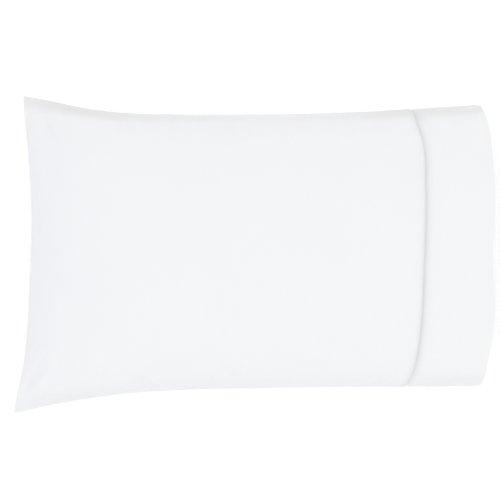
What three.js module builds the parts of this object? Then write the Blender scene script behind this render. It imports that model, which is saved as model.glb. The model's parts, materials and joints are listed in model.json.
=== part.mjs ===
// A pillowcase lying on its back with a pillow in it, in millimetres, +Z up.
// The closed end with its two pointed ears is at -X, the open hem at +X, and the origin lies on the
// floor under the middle. The skin is one run of closed rings: from the seam of the closed end over
// the filled case to the mouth, round the lip, back along the inside of the hem and over the rounded
// end of the filling, which closes it as one solid with a hollow mouth.
import * as THREE from 'three';

// ---- driving sizes ----
const CASE_LENGTH = 762;        // flat length of the sewn case, 30 in
const CASE_WIDTH = 508;         // its flat width, 20 in
const CLOTH_WALL = 2.2;         // the hem is two thicknesses of cloth with air between them
const SIDE_SEAM_WALL = 3.6;     // the felled seam inside each side of the hem
const END_ROLL = 175;           // how far the closed end takes to reach the full crown
const UNDER_END_ROLL = 125;     // the same on the underside
const END_FULLNESS = 2.2;       // power of the closed end's round profile
const FLAT_SHARE = 0.52;        // share of the half width that lies flat on the floor
const EAR_REACH = 62;           // each ear is nearly empty this far from its tip
const EAR_FLATNESS = 0.82;      // share of the swelling that is missing at the tip
const TOP_FULLNESS = 2.15;      // power of the top's round section, 2 being an ellipse
const UNDER_FULLNESS = 2.1;     // the same for the underside, outside its flat
const CLOSED_END_LIFT = 5;      // the middle of the closed end rides this much over its ears

// The tuck: the folded edge of the body cloth, standing over the hem that it is sewn to.
const TUCK_PROUD = 2.2;
const TUCK_FOLD = 20;           // how far back from its edge the tuck starts to rise
const TUCK_STEP = 1.4;          // length of the step down from the edge
const HEM_SUNK = 4.2;           // the hem dips this much at the foot of the step
const HEM_RECOVERY = 27;        // and is level again this far on
const TUCK_FADE_START = 0.92;   // from here across, towards each side seam, the tuck is sewn down
const TUCK_FADE = 0.75;         // until this share of its height is gone

// The lip of the mouth and the rounded end of the filling behind it.
const LIP_ROLL = 1.5;           // the hem's edge turns in this much
const LIP_LENGTH = 9;           // over its last stretch
const FILLING_RIM = 0.832;      // share of the length where the filling leaves the cloth
const FILLING_BULGE = 60;       // how far its end swells out from there
const FILLING_EDGE_BULGE = 10;  // the same beside the side seams
const FILLING_DRAW_IN = 0.06;   // its end is this share narrower than the case

// ---- fineness ----
const HALF_RING_STEPS = 36;     // facets across one face of the case
const BODY_STEP = 24;           // between rings along the body
const DOME_RINGS = 6;

// ---- outline on the floor, seen from above ----
const CORNERS = {
  earLower: new THREE.Vector2(-374, -260),
  earUpper: new THREE.Vector2(-367, 248),
  mouthLower: new THREE.Vector2(390, -223),
  mouthUpper: new THREE.Vector2(396, 250),
};

// Each edge is drawn in from the straight line between its corners. Columns: share of the way along
// the edge, inset in mm. The closed end and the mouth run from the lower to the upper corner.
const UPPER_SIDE = [[0, 0], [0.05, 7.0], [0.1, 15.6], [0.16, 23.5], [0.22, 27.8], [0.32, 29.1],
  [0.48, 27.0], [0.6, 23.9], [0.7, 20.1], [0.8, 14.5], [0.9, 7.7], [1, 0]];
const LOWER_SIDE = [[0, 0], [0.05, 6.8], [0.1, 13.0], [0.16, 18.2], [0.22, 21.8], [0.32, 23.2],
  [0.48, 19.8], [0.6, 16.3], [0.7, 12.7], [0.8, 8.5], [0.9, 4.4], [1, 0]];
const CLOSED_END = [[0, 0], [0.04, 2.2], [0.1, 8.2], [0.17, 13.8], [0.25, 17.0], [0.4, 18.8],
  [0.55, 19.3], [0.66, 17.8], [0.76, 13.6], [0.87, 7.2], [0.95, 1.8], [1, 0]];
const MOUTH = [[0, 1.5], [0.06, 1.6], [0.2, -1.0], [0.35, 0.6], [0.5, 0.3], [0.7, -1.2],
  [0.84, -2.6], [0.94, 0.3], [1, 1.2]];

// Where the hem line crosses the case. Columns: place across (-1 lower seam, 1 upper seam), share of
// the length.
const HEM_LINE = [[-1, 0.8236], [-0.88, 0.8293], [-0.72, 0.8304], [-0.58, 0.83], [-0.35, 0.8321],
  [0, 0.8344], [0.4, 0.836], [0.8, 0.8372], [0.9, 0.835], [1, 0.8358]];

// ---- heights along the case ----
// Columns: share of the length, height of the side seams over the floor, rise of the top over them.
const HEIGHTS = [[0, 42, 84], [0.08, 48, 84], [0.2, 56, 85], [0.4, 60, 86], [0.6, 60, 85],
  [0.75, 59, 81], [0.84, 57, 77], [0.92, 54, 70], [1, 50, 60]];

// ---- soft creases in the top face ----
// Columns: from x, y to x, y, width across the crease, height (a trough is below nought).
const CREASE_FADE = 5;          // how fast a crease dies away towards its ends
const CREASE_SHARPNESS = 3;     // and across its width
const CREASES = [
  [-362, -246, -306, -178, 20, -3.0],
  [-350, -250, -262, -196, 22, 2.2],
  [-338, 216, -316, 172, 20, -2.6],
  [-318, 226, -262, 196, 22, 2.0],
  [-276, 182, -196, 150, 30, -1.6],
  [-182, -214, -162, -176, 24, -1.8],
  [-112, -214, -92, -172, 26, -1.5],
  [-40, -212, -44, -168, 28, -1.2],
  [270, 226, 318, 178, 22, -2.2],
  [236, -206, 252, -168, 22, -2.0],
];

// ---- short maths ----
// A smooth curve through one column of a table.
function curveThrough(rows, column = 1) {
  const places = Float32Array.from(rows, (row) => row[0]);
  const values = Float32Array.from(rows, (row) => row[column]);
  const curve = new THREE.CubicInterpolant(places, values, 1, new Float32Array(1));
  return (place) => curve.evaluate(THREE.MathUtils.clamp(place, rows[0][0], rows.at(-1)[0]))[0];
}

const { lerp, smoothstep } = THREE.MathUtils;
const upperInset = curveThrough(UPPER_SIDE);
const lowerInset = curveThrough(LOWER_SIDE);
const closedEndInset = curveThrough(CLOSED_END);
const mouthInset = curveThrough(MOUTH);
const hemLine = curveThrough(HEM_LINE);
const seamHeight = curveThrough(HEIGHTS, 1);
const topRise = curveThrough(HEIGHTS, 2);

// ---- plan: where a place on the cloth lies, seen from above ----
// along runs 0 to 1 from the closed end to the mouth, across -1 to 1 from lower to upper seam.
function plan(along, across) {
  const { earLower, earUpper, mouthLower, mouthUpper } = CORNERS;
  const share = (across + 1) / 2;
  const lower = new THREE.Vector2().lerpVectors(earLower, mouthLower, along);
  const upper = new THREE.Vector2().lerpVectors(earUpper, mouthUpper, along);
  const place = new THREE.Vector2().lerpVectors(lower, upper, share);
  place.x += lerp(closedEndInset(share), -mouthInset(share), along);
  place.y += lerp(lowerInset(along), -upperInset(along), share);
  return place;
}

// ---- swelling: how full the case is at a place, 0 at its seams to 1 on the crown ----
function endRoll(along, reach) {
  const share = Math.min((along * CASE_LENGTH) / reach, 1);
  return Math.sqrt(1 - (1 - share) ** END_FULLNESS);
}

function earFill(along, across) {
  const fromEnd = along * CASE_LENGTH;
  const fromSide = ((1 - Math.abs(across)) * CASE_WIDTH) / 2;
  const nearness = Math.exp(-(fromEnd ** 2 + fromSide ** 2) / EAR_REACH ** 2);
  return 1 - EAR_FLATNESS * nearness;
}

function topSwell(along, across) {
  const section = Math.sqrt(1 - Math.abs(across) ** TOP_FULLNESS);
  return section * endRoll(along, END_ROLL) * earFill(along, across);
}

function underSwell(along, across) {
  const past = Math.max(0, (Math.abs(across) - FLAT_SHARE) / (1 - FLAT_SHARE));
  const section = Math.sqrt(1 - past ** UNDER_FULLNESS);
  return section * endRoll(along, UNDER_END_ROLL) * earFill(along, across);
}

function seamLevel(along, across) {
  const lift = CLOSED_END_LIFT * (1 - across ** 2) * (1 - Math.min(along * 5, 1));
  return seamHeight(along) + lift;
}

// The smooth outer surface. turn goes once round the case: 0 is the lower seam, a quarter the middle
// of the top, a half the upper seam and three quarters the middle of the underside. inset shrinks the
// section towards its middle, for the inside of the hem.
function smoothPlace(along, turn, inset = 0, seamInset = inset) {
  const angle = turn * 2 * Math.PI;
  const across = -Math.cos(angle);
  const place = plan(along, across);
  const level = seamLevel(along, across);
  const middle = (plan(along, -1).y + plan(along, 1).y) / 2;
  const halfWidth = Math.abs(plan(along, 1).y - middle);
  const y = middle + (place.y - middle) * (1 - seamInset / halfWidth);
  const onTop = Math.sin(angle) >= 0;
  const z = onTop
    ? level + (topRise(along) - inset) * topSwell(along, across)
    : level - (level - inset) * underSwell(along, across);
  return new THREE.Vector3(place.x, y, z);
}

function outward(along, turn) {
  const step = 0.004;
  const before = Math.max(along - step, 0.0005);
  const after = Math.min(along + step, 1);
  const lengthwise = smoothPlace(after, turn).sub(smoothPlace(before, turn));
  const around = smoothPlace(along, turn + step).sub(smoothPlace(along, turn - step));
  return around.cross(lengthwise).normalize();
}

// ---- relief: tuck, lip and creases, as a height along the outward direction ----
function tuckShare(across) {
  return 1 - TUCK_FADE * smoothstep(Math.abs(across), TUCK_FADE_START, 1);
}

function hemDip(past, across) {
  return HEM_SUNK * (1 - smoothstep(past, TUCK_STEP, HEM_RECOVERY)) * tuckShare(across);
}

function tuckRelief(along, across) {
  const past = (along - hemLine(across)) * CASE_LENGTH;
  const proud = TUCK_PROUD * tuckShare(across);
  if (past <= 0) return proud * smoothstep(past, -TUCK_FOLD, 0);
  return lerp(proud, -hemDip(past, across), Math.min(past / TUCK_STEP, 1));
}

function lipRelief(along) {
  const toMouth = (1 - along) * CASE_LENGTH;
  return -LIP_ROLL * (1 - smoothstep(toMouth, 0, LIP_LENGTH));
}

// A crease is deepest at its middle and fades out at both ends.
function creaseRelief(place) {
  return CREASES.reduce((sum, [x1, y1, x2, y2, width, height]) => {
    const start = new THREE.Vector2(x1, y1);
    const run = new THREE.Vector2(x2, y2).sub(start);
    const here = new THREE.Vector2(place.x, place.y).sub(start);
    const share = here.dot(run) / run.lengthSq();
    const aside = Math.abs(here.cross(run)) / run.length();
    const fade = Math.exp(-((share - 0.5) ** 2) * CREASE_FADE);
    return sum + height * fade * Math.exp(-((aside / width) ** 2) * CREASE_SHARPNESS);
  }, 0);
}

function outerPlace(along, turn) {
  const place = smoothPlace(along, turn);
  if (along === 0) return place;
  const angle = turn * 2 * Math.PI;
  const onTop = Math.sin(angle) > 1e-6;
  let relief = tuckRelief(along, -Math.cos(angle)) + lipRelief(along);
  if (onTop) relief += creaseRelief(place);
  place.addScaledVector(outward(along, turn), relief);
  place.z = Math.max(place.z, 0);
  return place;
}

// ---- rings ----
const RING_STEPS = HALF_RING_STEPS * 2;
const turns = Array.from({ length: RING_STEPS }, (_, step) => step / RING_STEPS);

function outerRing(shiftFromHem, along) {
  return turns.map((turn) => {
    const across = -Math.cos(turn * 2 * Math.PI);
    const here = along ?? hemLine(across) + shiftFromHem / CASE_LENGTH;
    return outerPlace(here, turn);
  });
}

function innerRing(along, lipRoll = 0) {
  return turns.map((turn) => {
    const across = -Math.cos(turn * 2 * Math.PI);
    const setBack = lipRoll + hemDip((along - hemLine(across)) * CASE_LENGTH, across);
    const place = smoothPlace(along, turn, CLOTH_WALL + setBack, SIDE_SEAM_WALL + setBack);
    place.z = Math.max(place.z, CLOTH_WALL);
    return place;
  });
}

// The lip: the folded edge between the two cloths of the hem, half way through the wall.
function lipRing() {
  const outer = outerRing(0, 1);
  const inner = innerRing(1, LIP_ROLL);
  return outer.map((place, step) => {
    const middle = place.clone().lerp(inner[step], 0.5);
    middle.x += CLOTH_WALL * 0.5;
    return middle;
  });
}

// The end of the filling, from the ring where it leaves the cloth to the line that closes it.
function domeRing(share) {
  const rim = innerRing(FILLING_RIM);
  return rim.map((place, step) => {
    const across = -Math.cos(turns[step] * 2 * Math.PI);
    const bulge = lerp(FILLING_BULGE, FILLING_EDGE_BULGE, Math.abs(across) ** 3);
    const middleY = (rim[0].y + rim[HALF_RING_STEPS].y) / 2;
    const level = seamLevel(FILLING_RIM, across);
    return new THREE.Vector3(
      place.x + bulge * Math.sin((share * Math.PI) / 2),
      middleY + (place.y - middleY) * (1 - FILLING_DRAW_IN * share),
      lerp(place.z, level, share),
    );
  });
}

const endRollRings = [1.5, 6, 13, 23, 36, 52, 71, 92, 115, 138].map((reach) => reach / CASE_LENGTH);
const bodyRings = [];
for (let reach = 160; reach < 595; reach += BODY_STEP) bodyRings.push(reach / CASE_LENGTH);
const hemShifts = [-30, -TUCK_FOLD, -12, -6, -2, 0, TUCK_STEP, 5, 10, 17, HEM_RECOVERY, 46, 68, 90];
const hemRings = hemShifts.map((shift) => outerRing(shift));
const mouthRings = [LIP_LENGTH, 4, 0].map((toMouth) => outerRing(0, 1 - toMouth / CASE_LENGTH));
const insideShares = [0.985, 0.96, 0.925, 0.89, 0.868, 0.855, 0.844, FILLING_RIM];
const insideRings = insideShares.map((along) => innerRing(along));
const domeRings = Array.from({ length: DOME_RINGS }, (_, step) => domeRing((step + 1) / DOME_RINGS));

const rings = [
  outerRing(0, 0),
  ...endRollRings.map((along) => outerRing(0, along)),
  ...bodyRings.map((along) => outerRing(0, along)),
  ...hemRings,
  ...mouthRings,
  lipRing(),
  innerRing(1, LIP_ROLL),
  ...insideRings,
  ...domeRings,
];

// ---- one closed skin through all the rings ----
// The first and the last ring are folded flat, so their upper and lower halves share their points.
// The diagonals beside the side seams lean so that the two halves never share one.
function skin(ringList) {
  const positions = [];
  const last = ringList.length - 1;
  const ringIndices = ringList.map((ring, number) => {
    const folded = number === 0 || number === last;
    const indices = [];
    ring.forEach((place, step) => {
      if (folded && step > HALF_RING_STEPS) {
        indices.push(indices[RING_STEPS - step]);
        return;
      }
      indices.push(positions.length / 3);
      positions.push(place.x, place.y, place.z);
    });
    return indices;
  });
  const triangles = [];
  for (let number = 0; number < last; number += 1) {
    for (let step = 0; step < RING_STEPS; step += 1) {
      const next = (step + 1) % RING_STEPS;
      const a = ringIndices[number][step];
      const b = ringIndices[number][next];
      const c = ringIndices[number + 1][next];
      const d = ringIndices[number + 1][step];
      const nearSeam = (step % HALF_RING_STEPS) * 2 < HALF_RING_STEPS;
      const leansForward = nearSeam !== (number === last - 1);
      triangles.push(...(leansForward ? [a, c, b, a, d, c] : [a, d, b, b, d, c]));
    }
  }
  const geometry = new THREE.BufferGeometry();
  geometry.setAttribute('position', new THREE.Float32BufferAttribute(positions, 3));
  geometry.setIndex(triangles);
  return geometry;
}

// The origin is on the floor, under the middle of the whole case.
function centreOnFloor(geometry) {
  geometry.computeBoundingBox();
  const { min, max } = geometry.boundingBox;
  geometry.translate(-(min.x + max.x) / 2, -(min.y + max.y) / 2, -min.z);
  geometry.computeVertexNormals();
  return geometry;
}

const cotton = new THREE.MeshStandardMaterial({ color: 0xf1f3f6, roughness: 0.9, metalness: 0 });
const pillowcase = new THREE.Mesh(centreOnFloor(skin(rings)), cotton);
pillowcase.name = 'pillowcase';

const model = new THREE.Group();
model.add(pillowcase);
export default model;
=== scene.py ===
# %% [markdown]
# # A full pillowcase on its back
# A plain cotton case is two flat faces of cloth. A pillow pushed into it swells the faces, so the sides
# draw in, the corners of the closed end stay behind as pointed ears, and the open end keeps its width.
# This lesson makes the cloth as one thin skin on its measured form, puts the end of the pillow in the
# mouth, sews the hem line and weaves the cotton in the shader.

# %% Load the frame
import json
import math
import random

import bpy
import numpy as np
from mathutils import Matrix, Vector

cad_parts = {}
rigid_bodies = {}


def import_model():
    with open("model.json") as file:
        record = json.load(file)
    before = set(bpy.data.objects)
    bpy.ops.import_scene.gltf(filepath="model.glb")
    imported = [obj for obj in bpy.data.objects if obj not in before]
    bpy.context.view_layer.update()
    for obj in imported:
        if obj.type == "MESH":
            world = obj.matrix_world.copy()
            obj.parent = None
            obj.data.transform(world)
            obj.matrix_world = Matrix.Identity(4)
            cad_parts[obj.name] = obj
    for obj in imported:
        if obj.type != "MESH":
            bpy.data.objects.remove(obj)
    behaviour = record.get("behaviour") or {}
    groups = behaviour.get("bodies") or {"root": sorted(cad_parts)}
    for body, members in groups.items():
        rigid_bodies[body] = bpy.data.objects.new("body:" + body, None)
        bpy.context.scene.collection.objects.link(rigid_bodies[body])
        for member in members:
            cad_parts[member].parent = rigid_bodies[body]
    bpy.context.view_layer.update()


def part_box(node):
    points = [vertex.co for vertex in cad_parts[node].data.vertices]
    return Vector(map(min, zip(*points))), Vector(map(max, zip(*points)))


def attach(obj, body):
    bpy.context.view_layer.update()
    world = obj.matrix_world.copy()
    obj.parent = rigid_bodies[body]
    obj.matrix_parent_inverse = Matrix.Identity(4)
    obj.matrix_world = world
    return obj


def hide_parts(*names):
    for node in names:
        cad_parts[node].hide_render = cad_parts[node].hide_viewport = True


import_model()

case_low, case_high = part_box("pillowcase")
print("solid case, metres:", [round(side, 4) for side in case_high - case_low])

# %% [markdown]
# ## Sizes
# A maker knows a case by its flat size, the depth of its hem and the thickness of its cloth, so these
# drive everything else. Percale is about a quarter of a millimetre thick, but pressed and turned cloth
# holds air, so a wall near one millimetre reads as cloth and still renders cleanly.

# %% Sizes of the case
FLAT_LENGTH = 0.762
FLAT_WIDTH = 0.508
BODY_WALL = 0.0010
HEM_WALL = 0.0022           # the hem is two thicknesses of cloth
SEAM_ALLOWANCE = 0.0014     # extra thickness inside each side, where the felled seam lies
HALF_RING = 160             # facets across one face
RING = HALF_RING * 2

# %% [markdown]
# ## Smooth curves from short tables
# Measured profiles are a few numbers each. A cubic curve through them keeps the file short and the
# cloth smooth; straight pieces between the rows would show as kinks when light grazes the cotton.

# %% A smooth curve through a table
def curve_through(rows, column=1):
    """A cubic curve through one column of a table, for whole arrays of places at once."""
    places = np.array([row[0] for row in rows], float)
    values = np.array([row[column] for row in rows], float)
    slopes = np.gradient(values, places)

    def curve(at):
        at = np.clip(at, places[0], places[-1])
        left = np.clip(np.searchsorted(places, at, side="right") - 1, 0, len(places) - 2)
        width = places[left + 1] - places[left]
        share = (at - places[left]) / width
        from_left = values[left] + width * share * slopes[left]
        from_right = values[left + 1] - width * (1 - share) * slopes[left + 1]
        weight = share * share * (3 - 2 * share)
        return from_left * (1 - weight) + from_right * weight

    return curve


def smooth_step(value, start, end):
    """0 before start, 1 after end, and an easy rise between them."""
    share = np.clip((value - start) / (end - start), 0, 1)
    return share * share * (3 - 2 * share)


# %% [markdown]
# ## The outline on the floor
# Four corners and how far each edge is drawn in between them say where every thread lies, seen from
# above. The inner points follow by blending the four edges, as a surveyor fills in a map.

# %% Outline of the filled case
EAR_LOWER = np.array([case_low.x, case_low.y])
EAR_UPPER = EAR_LOWER + (0.007, 0.508)
MOUTH_LOWER = EAR_LOWER + (0.764, 0.037)
MOUTH_UPPER = EAR_LOWER + (0.770, 0.510)

# Columns: share of the way along the edge, inset in metres. The closed end and the mouth run from the
# lower to the upper corner.
upper_inset = curve_through([
    (0, 0), (0.05, 0.0070), (0.1, 0.0156), (0.16, 0.0235), (0.22, 0.0278), (0.32, 0.0291),
    (0.48, 0.0270), (0.6, 0.0239), (0.7, 0.0201), (0.8, 0.0145), (0.9, 0.0077), (1, 0)])
lower_inset = curve_through([
    (0, 0), (0.05, 0.0068), (0.1, 0.0130), (0.16, 0.0182), (0.22, 0.0218), (0.32, 0.0232),
    (0.48, 0.0198), (0.6, 0.0163), (0.7, 0.0127), (0.8, 0.0085), (0.9, 0.0044), (1, 0)])
closed_end_inset = curve_through([
    (0, 0), (0.04, 0.0022), (0.1, 0.0082), (0.17, 0.0138), (0.25, 0.0170), (0.4, 0.0188),
    (0.55, 0.0193), (0.66, 0.0178), (0.76, 0.0136), (0.87, 0.0072), (0.95, 0.0018), (1, 0)])
mouth_inset = curve_through([
    (0, 0.0015), (0.06, 0.0016), (0.2, -0.0010), (0.35, 0.0006), (0.5, 0.0003),
    (0.7, -0.0012), (0.84, -0.0026), (0.94, 0.0003), (1, 0.0012)])

# Where the hem line crosses. Columns: place across (-1 lower seam, 1 upper seam), share of the length.
hem_line = curve_through([
    (-1, 0.8236), (-0.88, 0.8293), (-0.72, 0.8304), (-0.58, 0.8300), (-0.35, 0.8321),
    (0, 0.8344), (0.4, 0.8360), (0.8, 0.8372), (0.9, 0.8350), (1, 0.8358)])


def plan(along, across):
    """Where a place on the cloth lies: along 0 to 1 from closed end to mouth, across -1 to 1."""
    share = (across + 1) / 2
    lower = EAR_LOWER + np.multiply.outer(along, MOUTH_LOWER - EAR_LOWER)
    upper = EAR_UPPER + np.multiply.outer(along, MOUTH_UPPER - EAR_UPPER)
    place = lower + (upper - lower) * share[..., None]
    x = place[..., 0] + closed_end_inset(share) * (1 - along) - mouth_inset(share) * along
    y = place[..., 1] + lower_inset(along) * (1 - share) - upper_inset(along) * share
    return x, y


print("ears apart:", round(float(np.linalg.norm(EAR_UPPER - EAR_LOWER)), 3))

# %% [markdown]
# ## How full it is
# The section of a stuffed case is close to an ellipse, flat where its weight lies on the floor. It fades
# to nothing at the closed end and almost to nothing in the ears, which no pillow fills.

# %% Swelling of the filled case
END_ROLL = 0.175            # how far the closed end takes to reach the full crown
UNDER_END_ROLL = 0.125      # the same on the underside
END_FULLNESS = 2.2
TOP_FULLNESS = 2.15
UNDER_FULLNESS = 2.1
FLAT_SHARE = 0.52           # share of the half width that lies flat on the floor
EAR_REACH = 0.062
EAR_FLATNESS = 0.82
CLOSED_END_LIFT = 0.005     # the middle of the closed end lies this much higher than its ears
LIFT_FADE = 5               # and no more a fifth of the way along

# Columns: share of the length, height of the side seams, rise of the top over them.
HEIGHTS = [
    (0, 0.042, 0.084), (0.08, 0.048, 0.084), (0.2, 0.056, 0.085), (0.4, 0.060, 0.086),
    (0.6, 0.060, 0.085), (0.75, 0.059, 0.081), (0.84, 0.057, 0.077), (0.92, 0.054, 0.070),
    (1, 0.050, 0.060)]
seam_height = curve_through(HEIGHTS, 1)
top_rise = curve_through(HEIGHTS, 2)


def side_distance(across):
    """Distance to the nearer side seam on the flat cloth."""
    return (1 - np.abs(across)) * FLAT_WIDTH / 2


def end_roll(along, reach):
    """0 at the closed end, 1 from reach on, round like the edge of a pillow."""
    share = np.minimum(along * FLAT_LENGTH / reach, 1)
    return np.sqrt(1 - (1 - share) ** END_FULLNESS)


def ear_fill(along, across):
    """How full the case is beside its ears: 1 where the pillow reaches."""
    from_end = along * FLAT_LENGTH
    distance = from_end ** 2 + side_distance(across) ** 2
    return 1 - EAR_FLATNESS * np.exp(-distance / EAR_REACH ** 2)


def on_floor(along, across):
    """1 where the case would lie pressed flat, falling to 0 at its seams."""
    past = np.maximum(0, (np.abs(across) - FLAT_SHARE) / (1 - FLAT_SHARE))
    section = np.sqrt(np.maximum(0, 1 - past ** UNDER_FULLNESS))
    return section * end_roll(along, UNDER_END_ROLL) * ear_fill(along, across)


def seam_level(along, across):
    """Height at which the upper and the lower face part."""
    lift = CLOSED_END_LIFT * (1 - across ** 2) * (1 - np.minimum(along * LIFT_FADE, 1))
    return seam_height(along) + lift


print("side seams over the floor, metres:", HEIGHTS[0][1], "to", HEIGHTS[3][1])

# %% The skin before it creases
# A place round the case is a turn: 0 lower seam, 0.25 middle of the top, 0.5 upper seam.
def across_at(turn):
    """How far across a turn lies: -1 at the lower seam, 1 at the upper one."""
    return -np.cos(turn * 2 * np.pi)


def upward_at(turn):
    """1 in the middle of the top, 0 at the side seams, -1 in the middle of the underside."""
    return np.sin(turn * 2 * np.pi)


def smooth_place(along, turn):
    """A point of the skin with no creases."""
    across = across_at(turn)
    x, y = plan(along, across)
    level = seam_level(along, across)
    section = np.sqrt(np.maximum(0, 1 - np.abs(across) ** TOP_FULLNESS))
    swell = section * end_roll(along, END_ROLL) * ear_fill(along, across)
    top = level + top_rise(along) * swell
    under = level * (1 - on_floor(along, across))
    return np.stack([x, y, np.where(upward_at(turn) >= 0, top, under)], axis=-1)


crown = smooth_place(np.array([0.5]), np.array([0.25]))[0]
print("crown over the floor, metres:", round(float(crown[2]), 4))

# %% Which way the cloth faces and how far off its seams are
NEIGHBOUR = 0.004           # how far off the neighbours are, along and around
END_NEIGHBOURS = (0.5, 1.6)     # beside the closed end they are nearer, at these shares of the way
LEAST_STEP = 0.00001        # and at the closed end itself this far ahead
TINY = 1e-12                # keeps a length or a sign from being nothing


def outward(along, turn):
    """The direction that the cloth faces, from its neighbours along and around."""
    before = np.maximum(along - NEIGHBOUR, along * END_NEIGHBOURS[0])
    after = np.minimum(along + NEIGHBOUR, along * END_NEIGHBOURS[1] + LEAST_STEP)
    ahead = smooth_place(np.minimum(after, 1), turn) - smooth_place(before, turn)
    around = smooth_place(along, turn + NEIGHBOUR) - smooth_place(along, turn - NEIGHBOUR)
    facing = np.cross(ahead, around)
    length = np.linalg.norm(facing, axis=-1, keepdims=True)
    return facing / np.maximum(length, TINY)


def from_seam(along, turn):
    """Straight distance to the nearest seam: the two sides and the closed end."""
    place = smooth_place(along, turn)
    side = smooth_place(along, np.where(across_at(turn) < 0, 0.0, 0.5))
    end = smooth_place(np.zeros_like(along), turn)
    return np.minimum(np.linalg.norm(place - side, axis=-1), np.linalg.norm(place - end, axis=-1))


crown_to_seam = from_seam(np.array([0.5]), np.array([0.25]))[0]
print("from the crown to the nearest seam, metres:", round(float(crown_to_seam), 3))

# %% [markdown]
# ## Creases
# Real cotton never lies as smooth as its form. The few soft creases that give this case its character
# are placed one by one: a ridge and a valley from each ear, and shallow dimples along the side seams. A
# slow drift keeps the broad faces alive.

# %% Main creases, one by one
# Columns: from x, y to x, y, width across, height (a valley is below nought), all on the top face.
MAIN_CREASES = [
    (-0.383, -0.232, -0.336, -0.170, 0.015, -0.0038),
    (-0.370, -0.238, -0.322, -0.176, 0.016, 0.0027),
    (-0.350, -0.160, -0.336, -0.118, 0.014, -0.0024),
    (-0.350, 0.220, -0.328, 0.176, 0.012, -0.0034),
    (-0.366, 0.216, -0.346, 0.166, 0.014, 0.0018),
    (-0.330, 0.230, -0.274, 0.200, 0.016, 0.0020),
    (-0.300, 0.214, -0.250, 0.168, 0.022, -0.0016),
    (-0.338, 0.120, -0.296, 0.040, 0.030, -0.0018),
    (-0.334, -0.020, -0.300, -0.090, 0.026, -0.0016),
    (-0.288, 0.186, -0.208, 0.154, 0.024, -0.0014),
    (-0.250, -0.216, -0.244, -0.180, 0.010, -0.0024),
    (-0.196, -0.214, -0.178, -0.184, 0.010, -0.0030),
    (-0.078, -0.212, -0.064, -0.184, 0.010, -0.0030),
    (-0.046, -0.210, -0.040, -0.184, 0.009, -0.0024),
    (-0.214, 0.204, -0.204, 0.184, 0.009, -0.0024),
    (-0.144, 0.216, -0.138, 0.186, 0.010, -0.0028),
    (-0.056, 0.208, -0.048, 0.184, 0.009, -0.0026),
    (-0.028, 0.208, -0.020, 0.184, 0.010, -0.0026),
    (0.258, 0.232, 0.300, 0.182, 0.012, -0.0030),
    (0.284, 0.230, 0.330, 0.196, 0.013, 0.0012),
    (0.214, -0.206, 0.246, -0.168, 0.014, -0.0020),
    (0.262, -0.196, 0.330, -0.150, 0.022, -0.0012),
]


def stroke(place, start, end, width, height, fade=5.0, sharpness=3.0):
    """One soft crease: deepest at its middle, dying away across its width and towards its ends."""
    run = np.subtract(end, start)
    here = place[..., :2] - start
    share = here @ run / (run @ run)
    aside = (here[..., 0] * run[1] - here[..., 1] * run[0]) / math.hypot(*run)
    return height * np.exp(-fade * (share - 0.5) ** 2 - sharpness * (aside / width) ** 2)


print("main creases:", len(MAIN_CREASES))

# %% Slow drift of the broad faces
# Columns: wavelength in metres, height, waves in the set.
DRIFT = [(0.240, 0.0008, 5), (0.110, 0.00025, 7)]
DRIFT_VARIES = (0.75, 1.3)  # each wave is between these shares of its set's wavelength
DRIFT_SEED = 5


def drift_waves(rng):
    """Plane waves in cloth coordinates, as (wave along, wave around, phase, height)."""
    waves = []
    for wavelength, height, count in DRIFT:
        for _ in range(count):
            heading = rng.uniform(0, math.pi)
            number = 2 * math.pi / (wavelength * rng.uniform(*DRIFT_VARIES))
            phase = rng.uniform(0, 2 * math.pi)
            waves.append((number * math.cos(heading), number * math.sin(heading), phase,
                          height / math.sqrt(count)))
    return waves


drift_list = drift_waves(random.Random(DRIFT_SEED))
print("waves of the drift:", len(drift_list))

# %% [markdown]
# ## Let the cloth settle
# A seam is always a little shorter than the cloth it holds, so a filled case puckers along its sides and
# its closed end. Nobody can place those puckers by hand, because each one pushes its neighbours. The
# cloth solver finds them on a coarse net of the case: its seams are held, the cloth near them gets some
# length to spare and the pillow presses from inside. Only the fine shape of the result is kept; the
# broad form stays as measured.

# %% A net of the case with its seams held
NET_ROWS = 140
NET_STEPS = 200
NET_CROWD = 1.4             # over 1 the rows crowd towards the closed end

net_along = (np.arange(1, NET_ROWS + 1) / NET_ROWS) ** NET_CROWD
net_along, net_turn = np.meshgrid(net_along, np.arange(NET_STEPS) / NET_STEPS, indexing="ij")


def blurred(field, rows, steps):
    """A field on the net, averaged over its neighbours with bell-shaped weights."""
    for axis, spread, mode in ((0, rows, "edge"), (1, steps, "wrap")):
        reach = int(math.ceil(3 * spread))
        weights = np.exp(-0.5 * (np.arange(-reach, reach + 1) / spread) ** 2)
        padding = [(0, 0), (0, 0)]
        padding[axis] = (reach, reach)
        padded = np.pad(field, padding, mode=mode)
        pieces = [weight * padded.take(range(shift, shift + field.shape[axis]), axis)
                  for shift, weight in enumerate(weights / weights.sum())]
        field = sum(pieces)
    return field


def weigh(net, name, weights):
    """Keeps a weight for every point of the net in a vertex group, and returns the group's name."""
    group = net.vertex_groups.new(name=name)
    for point, weight in enumerate(weights.ravel()):
        group.add([point], float(weight), "REPLACE")
    return name


def make_net(uneven):
    """The net as an object, on the smooth form but for a little unevenness to start from."""
    place = smooth_place(net_along, net_turn) + outward(net_along, net_turn) * uneven[..., None]
    index = np.arange(place.shape[0] * NET_STEPS).reshape(-1, NET_STEPS)
    beside = np.roll(index, -1, axis=1)
    quads = np.stack([index[:-1], index[1:], beside[1:], beside[:-1]], axis=-1).reshape(-1, 4)
    mesh = bpy.data.meshes.new("net")
    mesh.from_pydata(place.reshape(-1, 3).tolist(), [], quads.tolist())
    net = bpy.data.objects.new("net", mesh)
    bpy.context.scene.collection.objects.link(net)
    return net


print("points of the net:", net_along.size)

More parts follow.
